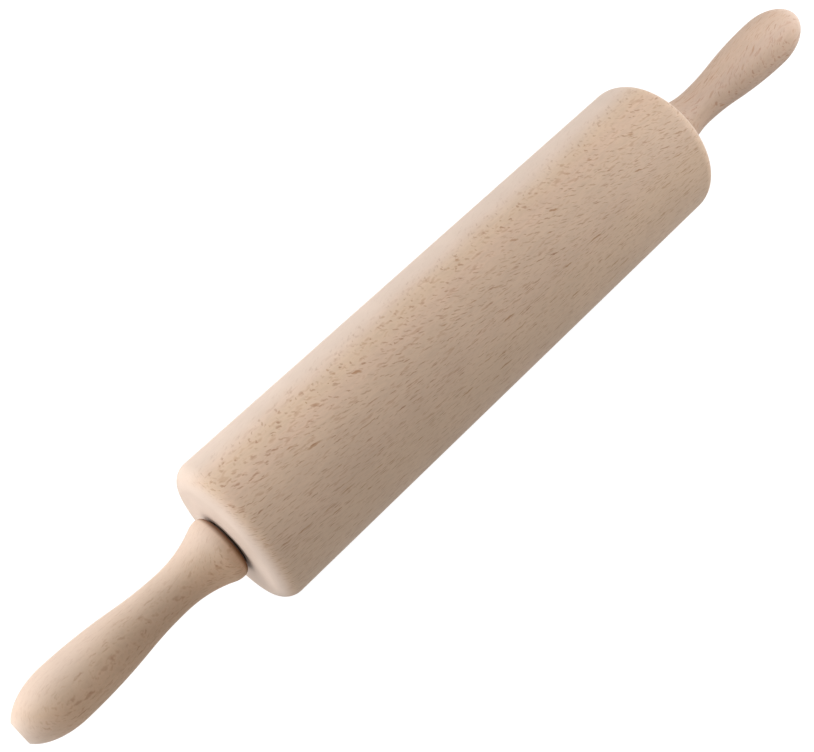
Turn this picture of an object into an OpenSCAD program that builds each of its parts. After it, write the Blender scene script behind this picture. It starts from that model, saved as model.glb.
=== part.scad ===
// Rolling pin with a barrel that revolves on a steel rod between two turned handles.
// The roller axis is X, from the left handle to the right one. The origin is the barrel's centre. Millimetres.

/* [Barrel] */
// Diameter of the barrel
barrel_d = 63; // [50:0.5:80]
// Length of the barrel, end face to end face
barrel_l = 250; // [180:5:400]
// Rounding of the barrel's two edges
barrel_edge_r = 7.5; // [3:0.5:9]
// Diameter of the hole bored through the barrel
barrel_bore_d = 11; // [9:0.5:13]

/* [Axle rod] */
// Diameter of the steel rod
axle_d = 8; // [6:0.5:8.5]
// Length of rod held in each handle
axle_grip_l = 42; // [25:1:60]
// Chamfer on the rod's ends
axle_chamfer = 0.8; // [0.3:0.1:1.5]
// Flutes round each end of the rod, which bite into the handle
flute_count = 12; // [6:1:16]
// Length of the flutes
flute_l = 30; // [10:1:40]
// Depth of a flute
flute_depth = 0.3; // [0.1:0.05:0.5]

/* [Bearing bushes] */
// Diameter of the sleeve that is pressed into the barrel
bush_sleeve_d = 15; // [14:0.5:17]
// Length of the sleeve behind its flange
bush_sleeve_l = 22; // [12:1:40]
// Diameter of the flange
bush_flange_d = 18; // [18:0.5:26]
// Thickness of the flange
bush_flange_t = 2; // [1.5:0.1:4]
// Depth of the flange below the barrel's end face
flange_sink = 0.4; // [0.3:0.1:1.1]
// Chamfer that leads the sleeve into the barrel
bush_lead_in = 1; // [0.4:0.1:2]
// Gap round the flange in its recess
flange_clearance = 0.2; // [0.1:0.05:0.5]
// Gap round the rod in the bushes and washers
running_clearance = 0.05; // [0.02:0.01:0.1]

/* [Thrust washers] */
// Diameter of a washer
washer_d = 16; // [15:0.5:18]
// Thickness of a washer
washer_t = 1; // [0.8:0.1:2]
// Play between each washer and its bush
end_play = 0.2; // [0.1:0.05:0.5]

/* [Handles] */
// Length of a handle, collar face to tip
handle_l = 94.7; // [90:0.1:110]
// Largest diameter of the collar
collar_d = 27; // [24:0.2:32]
// Rounding of the collar's edge beside the barrel
collar_rim_r = 3; // [1.5:0.5:3]
// Distance from the collar's face to where the collar starts to fall away
collar_land_l = 3.2; // [3.2:0.2:8]
// Radius of the shoulder that turns the collar towards the waist
collar_shoulder_r = 8.2; // [4:0.2:16]
// Diameter of the waist
waist_d = 17.2; // [15:0.2:20]
// Distance from the collar's face to the waist
waist_at = 25.7; // [20:0.1:34]
// Largest diameter of the grip
grip_d = 24.2; // [22:0.1:27]
// Distance from the collar's face to the grip's thickest place
grip_at = 75.7; // [68:0.1:84]
// Radius along the grip's back, which runs from the waist to the thickest place
grip_back_r = 220; // [120:5:300]
// Diameter of the small flat left at the tip
tip_flat_d = 9.7; // [6:0.1:14]

/* [Quality] */
// Largest turn between two points of an arc, in degrees
arc_step = 3; // [1:1:6]

/* [Hidden] */

$fn = 96;
beech = [0.80, 0.69, 0.58];
beech_handle = [0.80, 0.68, 0.54];
steel = [0.70, 0.71, 0.72];
nylon = [0.93, 0.92, 0.88];

// Points on an ellipse quarter between the grip and the tip
nose_steps = 24;
// How far a cutting tool runs past the face that it opens
overshoot = 1;
// Free depth past the rod's end in a handle's bore
bore_end_gap = 1;
// Included angle of the drill point that closes a handle's bore
drill_angle = 118;
// Radius of the rod of cutter that makes a flute
flute_cutter_r = 0.8;

bush_bore_d = axle_d + 2 * running_clearance;
// Place of the right bush's outer face, which the washer runs against
flange_x = barrel_l / 2 - flange_sink;
// The collar's face stands off the bush by the washer and its play
collar_x = flange_x + end_play + washer_t;
axle_l = 2 * (collar_x + axle_grip_l);

// Points of an arc round centre, each as [distance along the axis, radius from the axis]
function arc(centre, r, from, to) =
    let (steps = max(2, ceil(abs(to - from) / arc_step)))
    [for (i = [0:steps]) let (a = from + (to - from) * i / steps) centre + r * [cos(a), sin(a)]];

// Radius of a hollow that passes through a low point and meets a hump of radius hump_r without a kink,
// when the hump's top lies run further along the axis and rise further out
function hollow_r(run, rise, hump_r) = (run * run + rise * rise) / (2 * rise) - hump_r;

// Direction from one point to another, in degrees
function heading(from, to) = atan2(to[1] - from[1], to[0] - from[0]);

// Turned outline of a handle from its collar face at 0 to its tip, drawn as tangent arcs and an elliptical nose
function handle_outline() =
    let (
        collar_r = collar_d / 2,
        waist_r = waist_d / 2,
        grip_r = grip_d / 2,
        rim = [collar_rim_r, collar_r - collar_rim_r],
        shoulder = [collar_land_l, collar_r - collar_shoulder_r],
        flare_r = hollow_r(waist_at - collar_land_l, collar_r - waist_r, collar_shoulder_r),
        flare = [waist_at, waist_r + flare_r],
        flare_turn = heading(shoulder, flare),
        back_r = hollow_r(grip_at - waist_at, grip_r - waist_r, grip_back_r),
        back = [waist_at, waist_r + back_r],
        grip = [grip_at, grip_r - grip_back_r],
        back_turn = heading(back, grip)
    )
    concat(
        arc(rim, collar_rim_r, 180, 90),
        arc(shoulder, collar_shoulder_r, 90, flare_turn),
        arc(flare, flare_r, flare_turn + 180, 270),
        arc(back, back_r, -90, back_turn),
        arc(grip, grip_back_r, back_turn + 180, 90),
        nose()
    );

// Quarter ellipse from the grip's thickest place, cut short where it has closed to the tip's flat
function nose() =
    let (
        grip_r = grip_d / 2,
        last = asin(tip_flat_d / grip_d),
        reach = (handle_l - grip_at) / cos(last)
    )
    [
        for (i = [1:nose_steps])
        let (a = 90 + (last - 90) * i / nose_steps)
        [grip_at + reach * cos(a), grip_r * sin(a)]
    ];

// A solid turned about the X axis from an outline of [distance along the axis, radius] points
module turned(outline) {
    rotate([0, 90, 0])
    rotate_extrude()
    polygon([for (p = outline) [p[1], p[0]]]);
}

// A straight bore along X that opens both of its end faces
module through_hole(d, from, to) {
    translate([from - overshoot, 0, 0])
    rotate([0, 90, 0])
    cylinder(d = d, h = to - from + 2 * overshoot);
}

// A bore sunk from the barrel's right end face
module end_bore(d, depth) {
    translate([barrel_l / 2 - depth, 0, 0])
    rotate([0, 90, 0])
    cylinder(d = d, h = depth + overshoot);
}

module barrel() {
    half_l = barrel_l / 2;
    corner = [half_l - barrel_edge_r, barrel_d / 2 - barrel_edge_r];
    left_corner = [-corner[0], corner[1]];
    outline = concat(
        [[-half_l, 0]],
        arc(left_corner, barrel_edge_r, 180, 90),
        arc(corner, barrel_edge_r, 90, 0),
        [[half_l, 0]]
    );
    color(beech)
    difference() {
        turned(outline);
        through_hole(barrel_bore_d, -half_l, half_l);
        for (side = [0, 1])
            mirror([side, 0, 0]) {
                end_bore(bush_sleeve_d, flange_sink + bush_flange_t + bush_sleeve_l);
                end_bore(bush_flange_d + 2 * flange_clearance, flange_sink + bush_flange_t);
            }
    }
}

// Shallow flutes cut along the rod's right end
module flutes() {
    for (i = [0:flute_count - 1])
        rotate([i * 360 / flute_count, 0, 0])
        translate([axle_l / 2 - flute_l, 0, axle_d / 2 + flute_cutter_r - flute_depth])
        rotate([0, 90, 0])
        cylinder(r = flute_cutter_r, h = flute_l + overshoot, $fn = 24);
}

module axle_rod() {
    half_l = axle_l / 2;
    axle_r = axle_d / 2;
    outline = [
        [-half_l, 0],
        [-half_l, axle_r - axle_chamfer],
        [-half_l + axle_chamfer, axle_r],
        [half_l - axle_chamfer, axle_r],
        [half_l, axle_r - axle_chamfer],
        [half_l, 0]
    ];
    color(steel)
    difference() {
        turned(outline);
        flutes();
        mirror([1, 0, 0])
        flutes();
    }
}

// Bush of the right end: the flange lies in the barrel's recess, the sleeve runs inward
module bearing_bush() {
    flange_back = flange_x - bush_flange_t;
    inner = flange_back - bush_sleeve_l;
    sleeve_r = bush_sleeve_d / 2;
    bore_r = bush_bore_d / 2;
    flange_r = bush_flange_d / 2;
    color(nylon)
    turned([
        [inner, bore_r],
        [inner, sleeve_r - bush_lead_in],
        [inner + bush_lead_in, sleeve_r],
        [flange_back, sleeve_r],
        [flange_back, flange_r],
        [flange_x, flange_r],
        [flange_x, bore_r]
    ]);
}

module right_bearing_bush() {
    bearing_bush();
}

module left_bearing_bush() {
    mirror([1, 0, 0])
    bearing_bush();
}

// Washer of the right end, seated on the collar's face and running partly in the barrel's recess
module thrust_washer() {
    inner = collar_x - washer_t;
    color(nylon)
    turned([
        [inner, bush_bore_d / 2],
        [inner, washer_d / 2],
        [collar_x, washer_d / 2],
        [collar_x, bush_bore_d / 2]
    ]);
}

module right_thrust_washer() {
    thrust_washer();
}

module left_thrust_washer() {
    mirror([1, 0, 0])
    thrust_washer();
}

// Handle of the right end, with the blind bore that grips the rod
module handle() {
    bore_r = axle_d / 2;
    bore_l = axle_grip_l + bore_end_gap;
    drill_point_l = bore_r / tan(drill_angle / 2);
    bore = [
        [handle_l, 0],
        [bore_l + drill_point_l, 0],
        [bore_l, bore_r],
        [0, bore_r]
    ];
    color(beech_handle)
    translate([collar_x, 0, 0])
    turned(concat(handle_outline(), bore));
}

module right_handle() {
    handle();
}

module left_handle() {
    mirror([1, 0, 0])
    handle();
}

barrel();
axle_rod();
left_bearing_bush();
right_bearing_bush();
left_thrust_washer();
right_thrust_washer();
left_handle();
right_handle();
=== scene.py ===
"""Rolling pin with a revolving barrel: turned beech barrel and handles on a steel rod in nylon bushes.

Sizes are in metres and the roller axis is X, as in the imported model. The left handle is the one near the camera.
"""

import math

import bmesh
import bpy
from bpy.props import FloatProperty, FloatVectorProperty, IntProperty, PointerProperty
from mathutils import Matrix, Vector


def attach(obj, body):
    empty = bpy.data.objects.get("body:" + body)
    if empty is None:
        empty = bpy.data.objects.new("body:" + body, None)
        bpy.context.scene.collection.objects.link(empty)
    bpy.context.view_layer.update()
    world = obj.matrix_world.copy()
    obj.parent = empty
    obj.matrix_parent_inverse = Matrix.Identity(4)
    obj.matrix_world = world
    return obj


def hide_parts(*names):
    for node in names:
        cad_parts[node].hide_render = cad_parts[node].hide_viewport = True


bl_info = {
    "name": "Rolling Pin",
    "version": (1, 0, 0),
    "blender": (4, 5, 0),
    "location": "3D Viewport > Sidebar > Rolling Pin",
    "description": "Turns and dresses a beech rolling pin round its packed frame",
    "category": "Object",
}

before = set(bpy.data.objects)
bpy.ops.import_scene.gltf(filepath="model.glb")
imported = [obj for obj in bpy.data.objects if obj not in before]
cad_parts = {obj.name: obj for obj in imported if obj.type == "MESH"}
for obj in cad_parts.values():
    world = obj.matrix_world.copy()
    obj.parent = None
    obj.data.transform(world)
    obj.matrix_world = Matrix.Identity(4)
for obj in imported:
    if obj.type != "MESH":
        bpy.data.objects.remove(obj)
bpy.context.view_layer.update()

MM = 0.001
# The joined ends of a turned mesh lie closer than this
SEAM = 2e-6
# Corners sharper than this stay crisp on a turned piece
CRISP_CORNER = math.radians(28)
# Faces along each arc of a turned outline
STEPS_EACH_CUT = 16
# Half the included angle of the drill point that closes a handle's bore
DRILL_HALF_ANGLE = math.radians(59)

# The beech's pattern. All distances here are in millimetres in the plank.
# How far rays swerve along the grain, outward and across
SWERVE = (2.2, 1.8, 0.75)
# For thin, small and large rays: their spacing along the grain, outward and across, and then half their length,
# reach and thickness. The lengths and thicknesses are shares of Ray Height and Ray Width.
RAY_KINDS = (
    ((3.8, 2.4, 0.7), (0.85, 0.9, 0.75)),
    ((5.8, 3.0, 1.25), (1.15, 0.95, 1.0)),
    ((10.0, 4.6, 3.4), (1.55, 1.0, 1.6)),
)
# Each kind of ray takes its random points from another place in the plank, this far on from the last
SEED_STEPS = (31.0, 17.0, 11.0)
# The smallest and largest ray, as shares of the usual size, and the faintest as a share of the darkest
RAY_SIZES = (0.4, 1.25)
FAINTEST_RAY = 0.25
# A ray's edge fades between these shares of its half size
RAY_EDGE = (1.3, 0.5)
# Rays stand upright up to the first distance across them from the axis, and lean fully beyond the second
LEAN_BETWEEN = (18.0, 28.0)
# End grain comes in over this distance along the axis, and is full where the surface faces this much along it.
# Its paler colour is a painted highlight on the lit end faces and handle tips
END_FADE = 5.0
FACES_END = 0.95
# How far the years and the painted highlight streak wander
RINGS_WANDER = 7.0
STREAK_WANDERS = 12.0
# The painted highlight streak, a paler band laid along the lit side, on the way in to the tree's middle: where it
# starts, is full from and to, and stops
HIGHLIGHT_STREAK = (10.0, -5.0, -12.0, -24.0)
# How much of a piece's tone is its own colour, and how much of the rays and fibres the painted highlight washes
# out
BODY_SHARE = 0.65
HIGHLIGHT_HIDES = 0.95
# How dark the painted shade in the gap between collar and barrel gets, on the wood and on the nylon, and the
# specular level of bare wood outside that painted shade
DARKEST_GAP_SHADE = 0.8
DARKEST_NYLON_SHADE = 0.85
BARE_GLOSS = 0.4
# Where a handle shows end grain, painted paler as a highlight on its tip, as a distance from the middle and a
# facing, and where painted shade darkens its collar rim beside the barrel
HANDLE_ENDS = (190.0, 0.0)
HANDLE_GAP_SHADE = ("along", 128.7, 126.5)

# The room's walls end, and its ceiling starts, at these heights of the line of sight
WALL_TOP = 0.3
CEILING_EDGE = 0.6
# A little more than white, so that the table's faint shading leaves it white
TABLE_GLOW = 1.2
WHITE = (1, 1, 1, 1)


def linear(code):
    """An sRGB hex value as linear red, green and blue."""
    parts = [int(code[i:i + 2], 16) / 255 for i in (0, 2, 4)]
    return tuple(c / 12.92 if c <= 0.04045 else ((c + 0.055) / 1.055) ** 2.4 for c in parts)


def length(name, text, default):
    """A length property in metres."""
    return FloatProperty(name=name, description=text, default=default, min=0, precision=5, unit="LENGTH")


def angle(name, text, degrees):
    """An angle property, given in degrees and kept in radians."""
    return FloatProperty(name=name, description=text, default=math.radians(degrees), subtype="ANGLE")


def share(name, text, default, most=1.0):
    """A plain number from nothing to most."""
    return FloatProperty(name=name, description=text, default=default, min=0, max=most)


def steps(name, text, default):
    """A number of faces round a turned piece."""
    return IntProperty(name=name, description=text, default=default, min=24, max=512)


def power(name, text, default):
    """A lamp's power in watts."""
    return FloatProperty(name=name, description=text, default=default, min=0, unit="POWER")


def colour(name, text, code):
    """A colour property, given as an sRGB hex value."""
    return FloatVectorProperty(name=name, description=text, default=linear(code), subtype="COLOR", size=3,
                               min=0, max=1)


class BarrelSettings(bpy.types.PropertyGroup):
    """Sizes of the barrel, and how it lies in its block of beech."""

    diameter: length("Diameter", "Across the barrel", 63 * MM)
    length: length("Length", "From end face to end face", 250 * MM)
    edge_radius: length("Edge Radius", "Rounding of the two edges", 7.5 * MM)
    recess_diameter: length("Recess Diameter", "Recess for the bush's flange", 18.4 * MM)
    recess_depth: length("Recess Depth", "From the end face to the recess's floor", 2.4 * MM)
    sleeve_diameter: length("Sleeve Bore Diameter", "Bore that the bush is pressed into", 15 * MM)
    sleeve_depth: length("Sleeve Bore Depth", "From the recess's floor", 22 * MM)
    bore_diameter: length("Bore Diameter", "Hole through the middle", 11 * MM)
    steps_round: steps("Steps Round", "Faces round the barrel", 192)
    ray_side: angle("Ray Side", "Turn round the axis of the side that shows the rays flat", -20)
    grain_slope: angle("Grain Slope", "Slope of the rays against the axis", 4)


class HandleSettings(bpy.types.PropertyGroup):
    """Sizes of the two like handles, and how each lies in its block of beech."""

    length: length("Length", "From collar face to tip", 94.7 * MM)
    collar_at: length("Collar Place", "From the barrel's middle to the collar's face", 125.8 * MM)
    collar_diameter: length("Collar Diameter", "Across the collar", 27 * MM)
    rim_radius: length("Rim Radius", "Rounding of the collar beside the barrel", 3 * MM)
    land_length: length("Land Length", "From the collar's face to where it falls away", 3.2 * MM)
    shoulder_radius: length("Shoulder Radius", "Turn from the collar towards the waist", 8.2 * MM)
    waist_diameter: length("Waist Diameter", "Across the narrowest place", 17.2 * MM)
    waist_at: length("Waist Place", "From the collar's face", 25.7 * MM)
    grip_diameter: length("Grip Diameter", "Across the thickest place of the grip", 24.2 * MM)
    grip_at: length("Grip Place", "From the collar's face", 75.7 * MM)
    grip_back_radius: length("Grip Back Radius", "Curve along the back of the grip", 220 * MM)
    tip_diameter: length("Tip Diameter", "Across the small flat at the tip", 9.7 * MM)
    bore_diameter: length("Bore Diameter", "Blind bore that grips the rod", 8 * MM)
    bore_depth: length("Bore Depth", "From the collar's face", 43 * MM)
    steps_round: steps("Steps Round", "Faces round a handle", 128)
    left_ray_side: angle("Left Ray Side", "As for the barrel, on the left handle", 35)
    left_grain_slope: angle("Left Grain Slope", "As for the barrel, on the left handle", 3)
    right_ray_side: angle("Right Ray Side", "As for the barrel, on the right handle", 50)
    right_grain_slope: angle("Right Grain Slope", "As for the barrel, on the right handle", 5)


class BeechSettings(bpy.types.PropertyGroup):
    """Colours and scales of the bare beech."""

    tan: colour("Tan", "Body of the barrel's wood", "D3B79D")
    straw: colour("Straw", "Yellower bands", "D2B79E")
    pink: colour("Pink", "Steamed, pinker bands", "D6B7A4")
    # Painted highlight: this paler colour goes on the streak along the lit side and on the end grain
    painted_highlight: colour("Highlight", "Ray-poor wood and sanded end grain", "DBC7B8")
    left_handle: colour("Left Handle", "Body of the left handle's wood", "C29F7C")
    right_handle: colour("Right Handle", "Body of the right handle's wood", "AF937F")
    fleck: colour("Fleck", "Ends of the rays", "8A5228")
    spot: colour("Spot", "Large rays, cut nearly flat", "9C6A3C")
    # Painted shade: this dark brown goes on the wood on both sides of the gap between collar and barrel
    gap_shade: colour("Shading", "Wood darkened where the collar runs close to the barrel", "643A1E")
    ring_width: length("Ring Width", "One year's growth", 2.2 * MM)
    band_width: length("Band Width", "From one tone to the next", 13 * MM)
    pith_distance: length("Pith Distance", "From the piece to the middle of the tree", 90 * MM)
    ray_height: length("Ray Height", "Half the length of a fleck along the grain", 1.9 * MM)
    ray_width: length("Ray Width", "Half the thickness of a ray", 0.15 * MM)
    ray_lean: angle("Ray Lean", "Further slope of each ray near the side that shows them flat", 11)
    pore_depth: share("Pore Depth", "How dark the lines of pores are", 0.32)
    roughness: share("Roughness", "Sanded, unsealed wood", 0.62)


class SteelSettings(bpy.types.PropertyGroup):
    """Finish of the rod."""

    steel: colour("Steel", "Bright drawn steel", "B6B8BA")
    roughness: share("Roughness", "Drawn surface", 0.3)


class NylonSettings(bpy.types.PropertyGroup):
    """Finish of the bushes and washers."""

    nylon: colour("Nylon", "Natural, undyed nylon", "EBE6D8")
    # Painted shade: this dark brown goes on the bush's face and the washer, deep in the gap
    painted_shade: colour("Darkening", "Wood dust and grease on the parts that lie open in the gap", "643A1E")
    shaded_from: length("Shaded From", "Distance from the middle where the dust starts", 123.5 * MM)
    roughness: share("Roughness", "Moulded surface", 0.42)


class StageSettings(bpy.types.PropertyGroup):
    """Camera, light and floor."""

    lens: FloatProperty(name="Lens", description="Focal length on a 36 mm wide sensor", default=59.36, min=10,
                        unit="CAMERA")
    azimuth: angle("Azimuth", "Turn of the camera round the pin", -46.42)
    elevation: angle("Elevation", "Height of the camera above the horizon", 61.86)
    centre_right: length("Centre Right", "Barrel's middle, right of the camera's line of sight", 20.859 * MM)
    centre_up: length("Centre Up", "Barrel's middle, above the line of sight", 19.710 * MM)
    centre_ahead: length("Centre Ahead", "Barrel's middle, in front of the camera", 530.388 * MM)
    key_power: power("Key Power", "Long soft lamp at the left of the picture", 3.8)
    key_turn: angle("Key Turn", "Turn of the key lamp from the left handle's end", 44.5)
    key_height: angle("Key Height", "Height of the key lamp above the horizon", 23)
    key_away: length("Key Distance", "From the barrel's middle to the key lamp", 0.46)
    key_length: length("Key Length", "Length of the key lamp, which lies level", 1.6)
    key_width: length("Key Width", "Width of the key lamp", 0.28)
    fill_power: power("Fill Power", "Smaller soft lamp over the right handle", 0.68)
    fill_turn: angle("Fill Turn", "Turn of the fill lamp from the right handle's end", 11)
    fill_height: angle("Fill Height", "Height of the fill lamp above the horizon", 27)
    fill_away: length("Fill Distance", "From the barrel's middle to the fill lamp", 0.4)
    fill_length: length("Fill Length", "Length of the fill lamp", 0.21)
    fill_width: length("Fill Width", "Width of the fill lamp", 0.17)
    wall_light: share("Wall Light", "Light from the pale walls round the table", 0.28, 5)
    ceiling_light: share("Ceiling Light", "Light from above the walls", 0.42, 5)
    table_shade: share("Table Shade", "How much light the white table sends back", 0.72)
    floor_size: length("Floor Size", "Side of the square floor", 6.0)
    floor_shadow: share("Floor Shadow", "How much of its shading the white floor shows", 0.2)


class RollingPinSettings(bpy.types.PropertyGroup):
    """All settings of the rolling pin."""

    barrel: PointerProperty(type=BarrelSettings)
    handles: PointerProperty(type=HandleSettings)
    beech: PointerProperty(type=BeechSettings)
    steel: PointerProperty(type=SteelSettings)
    nylon: PointerProperty(type=NylonSettings)
    stage: PointerProperty(type=StageSettings)


def add(tree, kind, values=None, **settings):
    """Adds a node with its settings; values maps its inputs to plain values or to the sockets that feed them."""
    node = tree.nodes.new(kind)
    for name, value in settings.items():
        setattr(node, name, value)
    for key, value in (values or {}).items():
        if isinstance(value, bpy.types.NodeSocket):
            tree.links.new(value, node.inputs[key])
        else:
            node.inputs[key].default_value = value
    return node


def lathe_tree(name, cuts):
    """Geometry Nodes that draw an outline as a chain of arcs, one for each named cut, and turn it about X.

    A cut's centre and reach lie in the plane of the axis and the radius. A cut with no reach is a plain corner.
    """
    tree = bpy.data.node_groups.new(name, "GeometryNodeTree")
    face = tree.interface
    for title, kind in (("Steps Round", "NodeSocketInt"), ("Steps Each Cut", "NodeSocketInt"),
                        ("Wood", "NodeSocketMaterial")):
        face.new_socket(title, in_out="INPUT", socket_type=kind)
    for cut in cuts:
        for part, kind in (("Centre", "NodeSocketVector"), ("Reach", "NodeSocketVector"),
                           ("Start", "NodeSocketFloat"), ("End", "NodeSocketFloat")):
            face.new_socket(f"{cut} {part}", in_out="INPUT", socket_type=kind)
    face.new_socket("Mesh", in_out="OUTPUT", socket_type="NodeSocketGeometry")
    given = add(tree, "NodeGroupInput").outputs

    # A flat net of points. Each cut has one row of points more than it has steps
    per_cut = add(tree, "ShaderNodeMath", {0: given["Steps Each Cut"], 1: 1.0}, operation="ADD").outputs[0]
    rows = add(tree, "ShaderNodeMath", {0: per_cut, 1: float(len(cuts))}, operation="MULTIPLY").outputs[0]
    columns = add(tree, "ShaderNodeMath", {0: given["Steps Round"], 1: 1.0}, operation="ADD").outputs[0]
    net = add(tree, "GeometryNodeMeshGrid", {"Size X": 1.0, "Size Y": 1.0, "Vertices X": rows,
                                             "Vertices Y": columns})
    place = add(tree, "ShaderNodeSeparateXYZ", {0: add(tree, "GeometryNodeInputPosition").outputs[0]}).outputs
    last_row = add(tree, "ShaderNodeMath", {0: rows, 1: 1.0}, operation="SUBTRACT").outputs[0]
    along = add(tree, "ShaderNodeMath", {0: place["X"], 1: 0.5}, operation="ADD").outputs[0]
    row = add(tree, "ShaderNodeMath", {0: along, 1: last_row}, operation="MULTIPLY").outputs[0]
    row = add(tree, "ShaderNodeMath", {0: row}, operation="ROUND").outputs[0]
    cut_share = add(tree, "ShaderNodeMath", {0: row, 1: per_cut}, operation="DIVIDE").outputs[0]
    cut_number = add(tree, "ShaderNodeMath", {0: cut_share}, operation="FLOOR").outputs[0]
    step = add(tree, "ShaderNodeMath", {0: row, 1: per_cut}, operation="MODULO").outputs[0]
    gone = add(tree, "ShaderNodeMath", {0: step, 1: given["Steps Each Cut"]}, operation="DIVIDE").outputs[0]

    # The row's own cut, and the point on it
    picked = {}
    for part, kind in (("Centre", "VECTOR"), ("Reach", "VECTOR"), ("Start", "FLOAT"), ("End", "FLOAT")):
        switch = add(tree, "GeometryNodeIndexSwitch", {"Index": cut_number}, data_type=kind)
        while len(switch.index_switch_items) < len(cuts):
            switch.index_switch_items.new()
        for i, cut in enumerate(cuts):
            tree.links.new(given[f"{cut} {part}"], switch.inputs[i + 1])
        picked[part] = switch.outputs[0]
    centre = add(tree, "ShaderNodeSeparateXYZ", {0: picked["Centre"]}).outputs
    reach = add(tree, "ShaderNodeSeparateXYZ", {0: picked["Reach"]}).outputs
    turn = add(tree, "ShaderNodeMapRange", {"Value": gone, "To Min": picked["Start"],
                                            "To Max": picked["End"]}).outputs[0]
    cosine = add(tree, "ShaderNodeMath", {0: turn}, operation="COSINE").outputs[0]
    sine = add(tree, "ShaderNodeMath", {0: turn}, operation="SINE").outputs[0]
    x = add(tree, "ShaderNodeMath", {0: cosine, 1: reach["X"], 2: centre["X"]},
            operation="MULTIPLY_ADD").outputs[0]
    radius = add(tree, "ShaderNodeMath", {0: sine, 1: reach["Y"], 2: centre["Y"]},
                 operation="MULTIPLY_ADD").outputs[0]

    # A full turn brings the last column of points back onto the first
    spin = add(tree, "ShaderNodeMath", {0: place["Y"], 1: 2 * math.pi}, operation="MULTIPLY").outputs[0]
    spin_cosine = add(tree, "ShaderNodeMath", {0: spin}, operation="COSINE").outputs[0]
    spin_sine = add(tree, "ShaderNodeMath", {0: spin}, operation="SINE").outputs[0]
    y = add(tree, "ShaderNodeMath", {0: radius, 1: spin_sine}, operation="MULTIPLY").outputs[0]
    z = add(tree, "ShaderNodeMath", {0: radius, 1: spin_cosine}, operation="MULTIPLY").outputs[0]
    turned = add(tree, "ShaderNodeCombineXYZ", {"X": x, "Y": y, "Z": z}).outputs[0]
    shaped = add(tree, "GeometryNodeSetPosition", {"Geometry": net.outputs["Mesh"], "Position": turned})
    closed = add(tree, "GeometryNodeMergeByDistance", {"Geometry": shaped.outputs[0], "Distance": SEAM})
    real = add(tree, "GeometryNodeRealizeInstances", {"Geometry": closed.outputs[0]})
    covered = add(tree, "GeometryNodeSetMaterial", {"Geometry": real.outputs[0], "Material": given["Wood"]})
    add(tree, "NodeGroupOutput", {"Mesh": covered.outputs[0]})
    return tree


def turn_piece(name, cuts, steps_round, wood):
    """Runs the lathe on a chain of cuts and leaves a plain, closed mesh."""
    tree = lathe_tree(name + "_lathe", list(cuts))
    inputs = {"Steps Round": steps_round, "Steps Each Cut": STEPS_EACH_CUT, "Wood": wood}
    for cut, (centre, reach, start, end) in cuts.items():
        inputs[f"{cut} Centre"] = (*centre, 0.0)
        inputs[f"{cut} Reach"] = (*reach, 0.0)
        inputs[f"{cut} Start"] = math.radians(start)
        inputs[f"{cut} End"] = math.radians(end)
    piece = bpy.data.objects.new(name, bpy.data.meshes.new(name))
    bpy.context.scene.collection.objects.link(piece)
    lathe = piece.modifiers.new("Lathe", "NODES")
    lathe.node_group = tree
    for item in tree.interface.items_tree:
        if item.item_type == "SOCKET" and item.in_out == "INPUT":
            lathe[item.identifier] = inputs[item.name]
    bpy.context.view_layer.update()
    finished = bpy.data.meshes.new_from_object(piece.evaluated_get(bpy.context.evaluated_depsgraph_get()))
    piece.modifiers.remove(lathe)
    piece.data = finished
    finished.name = name

    work = bmesh.new()
    work.from_mesh(finished)
    bmesh.ops.dissolve_degenerate(work, dist=SEAM, edges=work.edges)
    bmesh.ops.recalc_face_normals(work, faces=work.faces)
    loose_edges = [e for e in work.edges if len(e.link_faces) != 2]
    work.to_mesh(finished)
    work.free()
    if loose_edges or not finished.polygons:
        raise RuntimeError(f"{name} isn't closed: {len(loose_edges)} edges have no face on one side")
    finished.shade_smooth()
    finished.set_sharp_from_angle(angle=CRISP_CORNER)
    return piece


def corner(x, radius):
    """A cut with no reach, where two straight faces meet."""
    return ((x, radius), (0.0, 0.0), 0.0, 0.0)


def barrel_cuts(barrel):
    """The barrel's outline, from its right end face round to its left one and back through the bore."""
    half = barrel.length / 2
    edge = barrel.edge_radius
    edge_centre = barrel.diameter / 2 - edge
    floor = half - barrel.recess_depth
    sleeve_end = floor - barrel.sleeve_depth
    right = {
        "Bore": corner(sleeve_end, barrel.bore_diameter / 2),
        "Sleeve End": corner(sleeve_end, barrel.sleeve_diameter / 2),
        "Sleeve Mouth": corner(floor, barrel.sleeve_diameter / 2),
        "Recess Floor": corner(floor, barrel.recess_diameter / 2),
        "Recess Mouth": corner(half, barrel.recess_diameter / 2),
        "Edge": ((half - edge, edge_centre), (edge, edge), 0, 90),
    }
    cuts = {f"Right {cut}": shape for cut, shape in right.items()}
    for cut, ((x, radius), reach, start, end) in reversed(right.items()):
        cuts[f"Left {cut}"] = ((-x, radius), reach, 180 - end, 180 - start)
    cuts["Closing"] = right["Bore"]
    return cuts


def hollow(run, rise, hump):
    """Radius of a hollow that passes through a low point and meets a hump without a kink."""
    return (run * run + rise * rise) / (2 * rise) - hump


def heading(start, end):
    """Direction from one point of the outline's plane to another, in degrees."""
    return math.degrees(math.atan2(end[1] - start[1], end[0] - start[0]))


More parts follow.
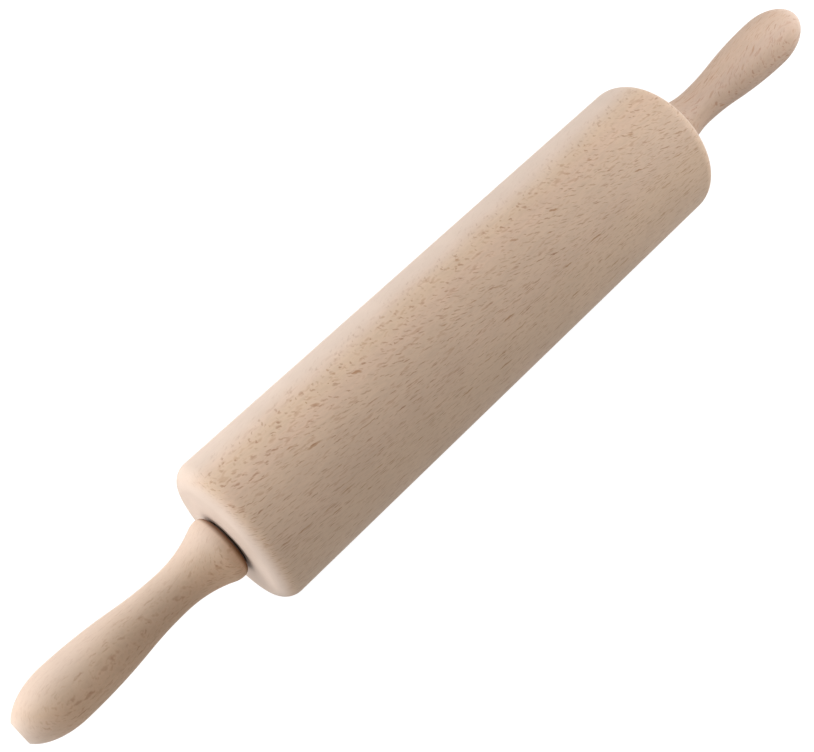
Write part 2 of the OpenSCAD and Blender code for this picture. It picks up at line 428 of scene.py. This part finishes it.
def handle_cuts(handle, side):
    """A handle's outline: its blind bore, then tangent arcs from the collar to the grip and an elliptical nose.

    side is 1 for the right handle and -1 for the left one, which is its mirror image.
    """
    collar, waist, grip = handle.collar_diameter / 2, handle.waist_diameter / 2, handle.grip_diameter / 2
    bore, depth = handle.bore_diameter / 2, handle.bore_depth
    rim, shoulder, back = handle.rim_radius, handle.shoulder_radius, handle.grip_back_radius
    flare = hollow(handle.waist_at - handle.land_length, collar - waist, shoulder)
    swell = hollow(handle.grip_at - handle.waist_at, grip - waist, back)
    shoulder_centre = (handle.land_length, collar - shoulder)
    flare_centre = (handle.waist_at, waist + flare)
    swell_centre = (handle.waist_at, waist + swell)
    back_centre = (handle.grip_at, grip - back)
    flare_turn = heading(shoulder_centre, flare_centre)
    swell_turn = heading(swell_centre, back_centre)
    tip_turn = math.asin(handle.tip_diameter / handle.grip_diameter)
    nose = (handle.length - handle.grip_at) / math.cos(tip_turn)
    drill_point = bore / math.tan(DRILL_HALF_ANGLE)
    cuts = {
        "Bore Point": corner(depth + drill_point, 0.0),
        "Bore End": corner(depth, bore),
        "Bore Mouth": corner(0.0, bore),
        "Rim": ((rim, collar - rim), (rim, rim), 180, 90),
        "Shoulder": (shoulder_centre, (shoulder, shoulder), 90, flare_turn),
        "Flare": (flare_centre, (flare, flare), flare_turn + 180, 270),
        "Swell": (swell_centre, (swell, swell), -90, swell_turn),
        "Back": (back_centre, (back, back), swell_turn + 180, 90),
        "Nose": ((handle.grip_at, 0.0), (nose, grip), 90, math.degrees(tip_turn)),
        "Tip": corner(handle.length, 0.0),
    }
    return {cut: ((side * (handle.collar_at + x), radius), (side * rx, ry), start, end)
            for cut, ((x, radius), (rx, ry), start, end) in cuts.items()}


def empty_tree(owner):
    """The node tree of a material or world, with nothing in it."""
    owner.use_nodes = True
    owner.node_tree.nodes.clear()
    return owner.node_tree


def start_surface(name, values):
    """A material with a Principled surface: the material, its tree, the surface and the object's coordinates."""
    material = bpy.data.materials.new(name)
    tree = empty_tree(material)
    skin = add(tree, "ShaderNodeBsdfPrincipled", values)
    add(tree, "ShaderNodeOutputMaterial", {"Surface": skin.outputs[0]})
    return material, tree, skin, add(tree, "ShaderNodeTexCoord").outputs


def finish_surface(tree, skin, tone, height, depth, strength):
    """Feeds a surface its colour, and a relief of that depth from the given height."""
    tree.links.new(tone, skin.inputs["Base Color"])
    relief = add(tree, "ShaderNodeBump", {"Height": height, "Distance": depth, "Strength": strength})
    tree.links.new(relief.outputs[0], skin.inputs["Normal"])


def plank_place(tree, seat, ray_side, grain_slope):
    """Place in the plank, in millimetres: X along the grain, Y out from the tree's middle, Z across the rays."""
    face = Vector((0, -math.sin(ray_side), math.cos(ray_side)))
    across = (face + Vector((math.tan(grain_slope), 0, 0))).normalized()
    outward = Vector((0, -math.cos(ray_side), -math.sin(ray_side)))
    grain = outward.cross(across)
    turned = Matrix((grain, outward, across)).to_euler()
    return add(tree, "ShaderNodeMapping", {"Vector": seat["Object"], "Rotation": turned,
                                           "Scale": (1 / MM, 1 / MM, 1 / MM)}).outputs[0]


def rays(tree, swerving, lean, shift, cell, half):
    """One kind of ray: a leaning ellipsoid round a random point of each cell, long along the grain and very thin.

    cell gives the sides of a cell, and half gives half a ray's sides: along the grain, outward and across.
    """
    # From the middle of the nearest ray, in cells
    moved = add(tree, "ShaderNodeVectorMath", {0: swerving, 1: shift}, operation="ADD").outputs[0]
    cells = add(tree, "ShaderNodeVectorMath", {0: moved, 1: cell}, operation="DIVIDE").outputs[0]
    nearest = add(tree, "ShaderNodeTexVoronoi", {"Vector": cells, "Scale": 1.0, "Randomness": 1.0}).outputs
    away = add(tree, "ShaderNodeVectorMath", {0: cells, 1: nearest["Position"]}, operation="SUBTRACT").outputs[0]

    # The further along the grain, the further a leaning ray lies to one side
    along_grain = add(tree, "ShaderNodeSeparateXYZ", {0: away}).outputs["X"]
    aside = add(tree, "ShaderNodeMath", {0: along_grain, 1: cell[0] / cell[2]}, operation="MULTIPLY").outputs[0]
    aside = add(tree, "ShaderNodeMath", {0: aside, 1: lean}, operation="MULTIPLY").outputs[0]
    aside = add(tree, "ShaderNodeCombineXYZ", {"Z": aside}).outputs[0]
    away = add(tree, "ShaderNodeVectorMath", {0: away, 1: aside}, operation="ADD").outputs[0]

    # The same in half rays, so that a ray of the usual size ends at 1
    stretch = [c / h for c, h in zip(cell, half)]
    away = add(tree, "ShaderNodeVectorMath", {0: away, 1: stretch}, operation="MULTIPLY").outputs[0]
    away = add(tree, "ShaderNodeVectorMath", {0: away}, operation="LENGTH").outputs["Value"]
    chance = add(tree, "ShaderNodeSeparateColor", {0: nearest["Color"]}).outputs
    least, most = RAY_SIZES
    size = add(tree, "ShaderNodeMapRange", {"Value": chance[0], "To Min": least, "To Max": most}).outputs[0]
    inside = add(tree, "ShaderNodeMath", {0: away, 1: size}, operation="DIVIDE").outputs[0]
    outer, inner = RAY_EDGE
    core = add(tree, "ShaderNodeMapRange", {"Value": inside, "From Min": outer, "From Max": inner},
               interpolation_type="SMOOTHSTEP").outputs[0]
    strength = add(tree, "ShaderNodeMapRange", {"Value": chance[1], "To Min": FAINTEST_RAY}).outputs[0]
    return add(tree, "ShaderNodeMath", {0: core, 1: strength}, operation="MULTIPLY").outputs[0]


def beech(name, look, body, ray_side, grain_slope, place, fine, flecks, spots, highlight_share, streak, ends, gap_shading):
    """Steamed beech, turned and fine-sanded, left bare.

    Its rays are thin upright sheets that run out from the tree's middle. Where the turned surface cuts across
    them they show as short dark dashes, and where it runs along them as broad spots and arcs. So the pattern is
    drawn as a solid one: along the grain, out from the tree's middle, and across the rays.

    body is the wood's main colour. place picks another stretch of the pattern for each piece. fine, flecks and
    spots say how dark the three kinds of rays are, and quiet how much the painted highlight streak shows: a paler
    band with few rays, laid along the lit side. streak is the fibres' frequency along the grain against that
    across it. ends gives the distance from the middle, in millimetres, and the share of facing along the axis from
    which end grain shows; its paler colour is a painted highlight. soiled names what the painted shade in the gap
    between collar and barrel is measured by, and gives the millimetres where it starts and where it is darkest.
    """
    material, tree, skin, seat = start_surface(name, {"Roughness": look.roughness, "IOR": 1.5})
    plank = plank_place(tree, seat, ray_side, grain_slope)
    way = add(tree, "ShaderNodeSeparateXYZ", {0: plank}).outputs

    # Rays swerve a few tenths of a millimetre round vessels and each other
    swerve = add(tree, "ShaderNodeTexNoise", {"Vector": plank, "Scale": 0.45, "Detail": 2.0}).outputs["Color"]
    swerve = add(tree, "ShaderNodeVectorMath", {0: swerve, 1: (0.5, 0.5, 0.5)}, operation="SUBTRACT").outputs[0]
    swerve = add(tree, "ShaderNodeVectorMath", {0: swerve, 1: SWERVE}, operation="MULTIPLY").outputs[0]
    swerving = add(tree, "ShaderNodeVectorMath", {0: plank, 1: swerve}, operation="ADD").outputs[0]

    # Rays near a thick piece's flat side lean more against the axis, so they come out there as slanting arcs
    upright_to, leaning_from = LEAN_BETWEEN
    lean = add(tree, "ShaderNodeMapRange", {"Value": way["Z"], "From Min": upright_to, "From Max": leaning_from,
                                            "To Max": -math.tan(look.ray_lean)},
               interpolation_type="SMOOTHSTEP").outputs[0]
    height, width = look.ray_height / MM, look.ray_width / MM
    thin, small, large = (
        rays(tree, swerving, lean, [place + seed * step for step in SEED_STEPS], cell,
             (height * long, reach, width * thick))
        for seed, (cell, (long, reach, thick)) in enumerate(RAY_KINDS, 1))

    # End grain shows as the surface turns to face along the axis, at the ends of the piece. The end grain's paler
    # colour is a painted highlight on the lit end faces and handle tips
    from_middle = add(tree, "ShaderNodeVectorMath", {0: seat["Object"], 1: (1 / MM, 0, 0)},
                      operation="MULTIPLY").outputs[0]
    from_middle = add(tree, "ShaderNodeVectorMath", {0: from_middle}, operation="LENGTH").outputs["Value"]
    facing = add(tree, "ShaderNodeSeparateXYZ", {0: seat["Normal"]}).outputs["X"]
    facing = add(tree, "ShaderNodeMath", {0: facing}, operation="ABSOLUTE").outputs[0]
    ends_from, turned_from = ends
    end_grain_highlight = add(tree, "ShaderNodeMapRange", {"Value": facing, "From Min": turned_from, "From Max": FACES_END},
                    interpolation_type="SMOOTHSTEP").outputs[0]
    near_end = add(tree, "ShaderNodeMapRange", {"Value": from_middle, "From Min": ends_from,
                                                "From Max": ends_from + END_FADE}).outputs[0]
    end_grain_highlight = add(tree, "ShaderNodeMath", {0: end_grain_highlight, 1: near_end}, operation="MULTIPLY").outputs[0]

    # Years and broad tone bands follow the distance from the tree's middle, and wander a little
    depth = add(tree, "ShaderNodeMath", {0: way["Y"], 1: look.pith_distance / MM + place},
                operation="ADD").outputs[0]
    round_tree = add(tree, "ShaderNodeCombineXYZ", {"X": depth, "Y": way["Z"]}).outputs[0]
    distance = add(tree, "ShaderNodeVectorMath", {0: round_tree}, operation="LENGTH").outputs["Value"]
    wander = add(tree, "ShaderNodeTexNoise", {"Vector": plank, "Scale": 0.02, "Detail": 2.0}).outputs[0]
    distance = add(tree, "ShaderNodeMath", {0: wander, 1: RINGS_WANDER, 2: distance},
                   operation="MULTIPLY_ADD").outputs[0]
    years = add(tree, "ShaderNodeTexNoise", {"W": distance, "Scale": MM / look.ring_width, "Detail": 3.0,
                                             "Roughness": 0.6}, noise_dimensions="1D").outputs[0]
    bands = add(tree, "ShaderNodeTexNoise", {"W": distance, "Scale": MM / look.band_width, "Detail": 1.0},
                noise_dimensions="1D").outputs[0]

    # Fibres: drawn about three times as coarse as real ones, which are too fine to show
    fibre_grid = add(tree, "ShaderNodeVectorMath", {0: plank, 1: (streak, 0.3, 1.0)},
                     operation="MULTIPLY").outputs[0]
    fibres = add(tree, "ShaderNodeTexNoise", {"Vector": fibre_grid, "Scale": 1.5, "Detail": 1.2,
                                              "Roughness": 0.7}).outputs[0]
    # Faint clouds about 17 mm across
    cloud = add(tree, "ShaderNodeTexNoise", {"Vector": plank, "Scale": 0.06, "Detail": 3.0}).outputs[0]

    # Painted highlight: a paler streak with few rays runs through the plank on the side towards the tree's middle,
    # laid so that it falls along the lit side of the barrel and the left handle
    inward = add(tree, "ShaderNodeMath", {0: wander, 1: STREAK_WANDERS, 2: way["Y"]},
                 operation="MULTIPLY_ADD").outputs[0]
    starts, full_from, full_to, stops = HIGHLIGHT_STREAK
    highlighted = add(tree, "ShaderNodeMapRange", {"Value": inward, "From Min": starts, "From Max": full_from},
               interpolation_type="SMOOTHSTEP").outputs[0]
    highlight_inner_edge = add(tree, "ShaderNodeMapRange", {"Value": inward, "From Min": stops, "From Max": full_to,
                                            "To Max": highlight_share}, interpolation_type="SMOOTHSTEP").outputs[0]
    highlighted = add(tree, "ShaderNodeMath", {0: highlighted, 1: highlight_inner_edge}, operation="MULTIPLY").outputs[0]
    highlight_mask = add(tree, "ShaderNodeMath", {0: end_grain_highlight, 1: highlighted}, operation="MAXIMUM").outputs[0]

    # Colour: tone bands, then the painted highlight on the streak and the end grain, then years and fibres, then
    # the rays and pores, which the painted highlight washes out
    banded = add(tree, "ShaderNodeMapRange", {"Value": bands, "From Min": 0.35, "From Max": 0.65},
                 interpolation_type="SMOOTHSTEP").outputs[0]
    tone = (*look.pink, 1)
    for blend, over in ((banded, look.straw), (BODY_SHARE, body), (highlight_mask, look.painted_highlight)):
        tone = add(tree, "ShaderNodeMix", {0: blend, 6: tone, 7: (*over, 1)}, data_type="RGBA").outputs[2]
    shown = add(tree, "ShaderNodeMath", {0: highlight_mask, 1: -HIGHLIGHT_HIDES, 2: 1.0}, operation="MULTIPLY_ADD").outputs[0]
    for value, swing, calmed in ((years, 0.025, shown), (fibres, 0.055, shown), (cloud, 0.035, 1.0)):
        lightness = add(tree, "ShaderNodeMapRange", {"Value": value, "From Min": 0.3, "From Max": 0.7,
                                                     "To Min": -swing, "To Max": swing}).outputs[0]
        lightness = add(tree, "ShaderNodeMath", {0: lightness, 1: calmed, 2: 1.0},
                        operation="MULTIPLY_ADD").outputs[0]
        tone = add(tree, "ShaderNodeVectorMath", {0: tone, 3: lightness}, operation="SCALE").outputs[0]
    pores = add(tree, "ShaderNodeMapRange", {"Value": fibres, "From Min": 0.53, "From Max": 0.75},
                interpolation_type="SMOOTHSTEP").outputs[0]
    marks = []
    for value, strength, tint in ((thin, fine, look.fleck), (small, flecks, look.fleck), (large, spots, look.spot),
                                  (pores, look.pore_depth, look.fleck)):
        mark = add(tree, "ShaderNodeMath", {0: value, 1: shown}, operation="MULTIPLY").outputs[0]
        mark = add(tree, "ShaderNodeMath", {0: mark, 1: strength}, operation="MULTIPLY").outputs[0]
        tone = add(tree, "ShaderNodeMix", {0: mark, 6: tone, 7: (*tint, 1)}, data_type="RGBA").outputs[2]
        marks.append(mark)

    # Painted shade: the collar and the end face run close together, and the wood on both is painted dark brown
    # there, standing in for the shade in the gap
    where, unshaded, dark = gap_shading
    ruler = from_middle
    if where == "radius":
        ruler = add(tree, "ShaderNodeVectorMath", {0: seat["Object"], 1: (0, 1 / MM, 1 / MM)},
                    operation="MULTIPLY").outputs[0]
        ruler = add(tree, "ShaderNodeVectorMath", {0: ruler}, operation="LENGTH").outputs["Value"]
    gap_shade = add(tree, "ShaderNodeMapRange", {"Value": ruler, "From Min": unshaded, "From Max": dark,
                                            "To Max": DARKEST_GAP_SHADE}, interpolation_type="SMOOTHSTEP").outputs[0]
    tone = add(tree, "ShaderNodeMix", {0: gap_shade, 6: tone, 7: (*look.gap_shade, 1)}, data_type="RGBA").outputs[2]
    # The painted shade also takes the wood's gloss away
    gloss = add(tree, "ShaderNodeMapRange", {"Value": gap_shade, "From Max": 0.3, "To Min": BARE_GLOSS,
                                             "To Max": 0.0}).outputs[0]
    tree.links.new(gloss, skin.inputs["Specular IOR Level"])

    # Rays sand a little lower than the fibres round them
    sunk = add(tree, "ShaderNodeMath", {0: marks[1], 1: -0.8, 2: fibres}, operation="MULTIPLY_ADD").outputs[0]
    finish_surface(tree, skin, tone, sunk, 0.03 * MM, 0.5)
    return material


def drawn_steel(name, look):
    """Bright drawn steel rod: the die leaves fine lines along it, which spread its gloss across them."""
    material, tree, skin, seat = start_surface(name, {"Metallic": 1.0})
    # Lines 0.25 mm apart and 60 mm long
    lines = add(tree, "ShaderNodeMapping", {"Vector": seat["Object"], "Scale": (16.0, 4000.0, 4000.0)}).outputs[0]
    drawn = add(tree, "ShaderNodeTexNoise", {"Vector": lines, "Scale": 1.0, "Detail": 2.0}).outputs[0]
    # Faint cloudy oxide, a few millimetres across
    cloud = add(tree, "ShaderNodeTexNoise", {"Vector": seat["Object"], "Scale": 180.0, "Detail": 3.0}).outputs[0]
    dull = [c * 0.82 for c in look.steel]
    tone = add(tree, "ShaderNodeMix", {0: cloud, 6: (*dull, 1), 7: (*look.steel, 1)}, data_type="RGBA").outputs[2]
    rough = add(tree, "ShaderNodeMapRange", {"Value": drawn, "To Min": look.roughness - 0.08,
                                             "To Max": look.roughness + 0.1}).outputs[0]
    tree.links.new(rough, skin.inputs["Roughness"])
    finish_surface(tree, skin, tone, drawn, 0.01 * MM, 0.4)
    return material


def moulded_nylon(name, look):
    """Natural nylon, injection moulded: milky, with a fine even texture from the mould."""
    material, tree, skin, seat = start_surface(name, {"Roughness": look.roughness, "IOR": 1.53,
                                                      "Subsurface Weight": 0.15, "Subsurface Scale": 0.6 * MM})
    # Flow marks about 4 mm across, and grains of 0.3 mm
    flow = add(tree, "ShaderNodeTexNoise", {"Vector": seat["Object"], "Scale": 250.0, "Detail": 2.0}).outputs[0]
    grains = add(tree, "ShaderNodeTexNoise", {"Vector": seat["Object"], "Scale": 3300.0, "Detail": 1.0}).outputs[0]
    milky = [c * 0.9 for c in look.nylon]
    tone = add(tree, "ShaderNodeMix", {0: flow, 6: (*milky, 1), 7: (*look.nylon, 1)}, data_type="RGBA").outputs[2]
    # Painted shade: the bush's face and the washer, which lie deep in the gap, are painted dark brown, standing in
    # for the shade there
    along = add(tree, "ShaderNodeSeparateXYZ", {0: seat["Object"]}).outputs["X"]
    along = add(tree, "ShaderNodeMath", {0: along}, operation="ABSOLUTE").outputs[0]
    painted_shade = add(tree, "ShaderNodeMapRange", {"Value": along, "From Min": look.shaded_from,
                                            "From Max": look.shaded_from + MM, "To Max": DARKEST_NYLON_SHADE},
               interpolation_type="SMOOTHSTEP").outputs[0]
    tone = add(tree, "ShaderNodeMix", {0: painted_shade, 6: tone, 7: (*look.painted_shade, 1)}, data_type="RGBA").outputs[2]
    finish_surface(tree, skin, tone, grains, 0.02 * MM, 0.3)
    return material


def dress(node, material):
    """Gives a CAD node that stays its own finish."""
    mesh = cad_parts[node].data
    mesh.materials.clear()
    mesh.materials.append(material)


def aimed(right, up, back):
    """The rotation of a camera or lamp from its own three axes."""
    return Matrix((right, up, back)).transposed().to_euler()


def seen(tree):
    """1 where the camera, a reflection or a see-through piece looks at it, and 0 where it only gives light."""
    path = add(tree, "ShaderNodeLightPath").outputs
    sight = path["Is Camera Ray"]
    for ray in ("Is Glossy Ray", "Is Transmission Ray"):
        sight = add(tree, "ShaderNodeMath", {0: sight, 1: path[ray]}, operation="MAXIMUM").outputs[0]
    return sight


def set_camera(scene, stage):
    """Looks at the pin from above, with the left handle towards the camera."""
    ahead_flat = Vector((-math.sin(stage.azimuth), math.cos(stage.azimuth), 0))
    right = Vector((math.cos(stage.azimuth), math.sin(stage.azimuth), 0))
    ahead = ahead_flat * math.cos(stage.elevation) - Vector((0, 0, math.sin(stage.elevation)))
    up = ahead_flat * math.sin(stage.elevation) + Vector((0, 0, math.cos(stage.elevation)))
    camera = bpy.data.objects.new("camera", bpy.data.cameras.new("camera"))
    scene.collection.objects.link(camera)
    camera.data.sensor_fit = "HORIZONTAL"
    camera.data.sensor_width = 36.0
    camera.data.lens = stage.lens
    camera.data.clip_start = 0.01
    camera.location = -(right * stage.centre_right + up * stage.centre_up + ahead * stage.centre_ahead)
    camera.rotation_euler = aimed(right, up, -ahead)
    scene.camera = camera


def set_lamps(scene, stage):
    """Two soft lamps near the table: the key at the left of the picture, and a fill at the right."""
    for name, end in (("key", -1), ("fill", 1)):
        turn, height, away, wide, high, watts = (
            getattr(stage, f"{name}_{part}") for part in ("turn", "height", "away", "length", "width", "power"))
        flat = math.cos(height)
        towards = Vector((end * flat * math.cos(turn), -end * flat * math.sin(turn), math.sin(height)))
        lamp = bpy.data.objects.new(f"{name}_light", bpy.data.lights.new(f"{name}_light", "AREA"))
        scene.collection.objects.link(lamp)
        lamp.data.energy = watts
        lamp.data.shape = "RECTANGLE"
        lamp.data.size, lamp.data.size_y = wide, high
        lamp.location = towards * away
        level = Vector((0, 0, 1)).cross(towards).normalized()
        lamp.rotation_euler = aimed(level, towards.cross(level), towards)
        lamp.visible_camera = False


def set_room(scene, stage):
    """Pale walls and a brighter ceiling, which the camera and reflections see as white."""
    world = bpy.data.worlds.new("soft_sky")
    scene.world = world
    tree = empty_tree(world)
    sight = add(tree, "ShaderNodeTexCoord").outputs["Generated"]
    rise = add(tree, "ShaderNodeSeparateXYZ", {0: sight}).outputs["Z"]
    room = add(tree, "ShaderNodeMapRange", {"Value": rise, "From Min": WALL_TOP, "From Max": CEILING_EDGE,
                                            "To Min": stage.wall_light, "To Max": stage.ceiling_light},
               interpolation_type="SMOOTHSTEP").outputs[0]
    strength = add(tree, "ShaderNodeMapRange", {"Value": seen(tree), "To Min": room, "To Max": 1.0}).outputs[0]
    sky = add(tree, "ShaderNodeBackground", {"Color": WHITE, "Strength": strength})
    add(tree, "ShaderNodeOutputWorld", {"Surface": sky.outputs[0]})


def set_table(scene, stage, drop):
    """The table, seen as white with a faint shadow."""
    half = stage.floor_size / 2
    corners = [(-half, -half, drop), (half, -half, drop), (half, half, drop), (-half, half, drop)]
    mesh = bpy.data.meshes.new("floor")
    mesh.from_pydata(corners, [], [(0, 1, 2, 3)])
    floor = bpy.data.objects.new("floor", mesh)
    scene.collection.objects.link(floor)
    white = bpy.data.materials.new("white_table")
    tree = empty_tree(white)
    lit = add(tree, "ShaderNodeBsdfDiffuse", {"Color": (*[stage.table_shade] * 3, 1)}).outputs[0]
    glow = add(tree, "ShaderNodeEmission", {"Color": WHITE, "Strength": TABLE_GLOW}).outputs[0]
    faint = add(tree, "ShaderNodeMixShader", {0: stage.floor_shadow, 1: glow, 2: lit}).outputs[0]
    picked = add(tree, "ShaderNodeMixShader", {0: seen(tree), 1: lit, 2: faint})
    add(tree, "ShaderNodeOutputMaterial", {"Surface": picked.outputs[0]})
    mesh.materials.append(white)


class ROLLINGPIN_OT_barrel(bpy.types.Operator):
    """Turn the barrel, with its rounded edges, bush recesses and bore"""

    bl_idname = "rolling_pin.barrel"
    bl_label = "Turn Barrel"

    def execute(self, context):
        settings = context.scene.rolling_pin
        barrel = settings.barrel
        look = settings.beech
        # The barrel's painted highlight streak is strong, and painted shade rings its end faces round the collars
        wood = beech("beech_barrel", look, look.tan, barrel.ray_side, barrel.grain_slope,
                     place=0.0, fine=0.56, flecks=0.46, spots=0.68, highlight_share=0.9, streak=0.14,
                     ends=(100.0, 0.4), gap_shading=("radius", 10.8, 9.2))
        piece = turn_piece("turned_barrel", barrel_cuts(barrel), barrel.steps_round, wood)
        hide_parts("barrel")
        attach(piece, "roller")
        return {"FINISHED"}


class ROLLINGPIN_OT_handles(bpy.types.Operator):
    """Turn the two like handles, each from its own piece of beech"""

    bl_idname = "rolling_pin.handles"
    bl_label = "Turn Handles"

    def execute(self, context):
        settings = context.scene.rolling_pin
        handles = settings.handles
        look = settings.beech
        # The left handle's painted highlight streak is strong, along its lit side, and the right handle's is faint
        blanks = {
            "left": {"place": 310.0, "fine": 0.4, "flecks": 0.4, "spots": 0.35, "highlight_share": 0.7, "streak": 0.3},
            "right": {"place": 520.0, "fine": 0.4, "flecks": 0.55, "spots": 0.75, "highlight_share": 0.15, "streak": 0.1},
        }
        for word, side in (("left", -1), ("right", 1)):
            ray_side, grain_slope = (getattr(handles, f"{word}_{part}") for part in ("ray_side", "grain_slope"))
            wood = beech(f"beech_{word}_handle", look, getattr(look, f"{word}_handle"), ray_side, grain_slope,
                         ends=HANDLE_ENDS, gap_shading=HANDLE_GAP_SHADE, **blanks[word])
            piece = turn_piece(f"turned_{word}_handle", handle_cuts(handles, side), handles.steps_round, wood)
            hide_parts(f"{word}_handle")
            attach(piece, "handle_frame")
        return {"FINISHED"}


class ROLLINGPIN_OT_rod(bpy.types.Operator):
    """Give the rod its drawn steel finish"""

    bl_idname = "rolling_pin.rod"
    bl_label = "Finish Rod"

    def execute(self, context):
        dress("axle_rod", drawn_steel("drawn_steel", context.scene.rolling_pin.steel))
        return {"FINISHED"}


class ROLLINGPIN_OT_bushes(bpy.types.Operator):
    """Give the bushes and washers their moulded nylon finish"""

    bl_idname = "rolling_pin.bushes"
    bl_label = "Finish Bushes and Washers"

    def execute(self, context):
        nylon = moulded_nylon("moulded_nylon", context.scene.rolling_pin.nylon)
        for node in ("left_bearing_bush", "right_bearing_bush", "left_thrust_washer", "right_thrust_washer"):
            dress(node, nylon)
        return {"FINISHED"}


class ROLLINGPIN_OT_stage(bpy.types.Operator):
    """Set up the camera, the soft light and the white floor"""

    bl_idname = "rolling_pin.stage"
    bl_label = "Set Stage"

    def execute(self, context):
        scene = context.scene
        stage = scene.rolling_pin.stage
        scene.view_settings.view_transform = "Standard"
        set_camera(scene, stage)
        set_lamps(scene, stage)
        set_room(scene, stage)
        set_table(scene, stage, drop=-scene.rolling_pin.barrel.diameter / 2)
        return {"FINISHED"}


class ROLLINGPIN_PT_panel(bpy.types.Panel):
    """Settings and steps of the rolling pin"""

    bl_idname = "ROLLINGPIN_PT_panel"
    bl_label = "Rolling Pin"
    bl_space_type = "VIEW_3D"
    bl_region_type = "UI"
    bl_category = "Rolling Pin"

    def draw(self, context):
        settings = context.scene.rolling_pin
        for step in STEPS:
            self.layout.operator(step.bl_idname)
        for title in ("barrel", "handles", "beech", "steel", "nylon", "stage"):
            box = self.layout.box()
            box.label(text=title.capitalize())
            group = getattr(settings, title)
            for name in group.__annotations__:
                box.prop(group, name)


STEPS = (ROLLINGPIN_OT_barrel, ROLLINGPIN_OT_handles, ROLLINGPIN_OT_rod, ROLLINGPIN_OT_bushes, ROLLINGPIN_OT_stage)
CLASSES = (BarrelSettings, HandleSettings, BeechSettings, SteelSettings, NylonSettings, StageSettings,
           RollingPinSettings, *STEPS, ROLLINGPIN_PT_panel)


def register():
    for cls in CLASSES:
        bpy.utils.register_class(cls)
    bpy.types.Scene.rolling_pin = PointerProperty(type=RollingPinSettings)


def unregister():
    del bpy.types.Scene.rolling_pin
    for cls in reversed(CLASSES):
        bpy.utils.unregister_class(cls)


def main():
    register()
    bpy.ops.rolling_pin.barrel()
    bpy.ops.rolling_pin.handles()
    bpy.ops.rolling_pin.rod()
    bpy.ops.rolling_pin.bushes()
    bpy.ops.rolling_pin.stage()


if __name__ == "__main__":
    main()
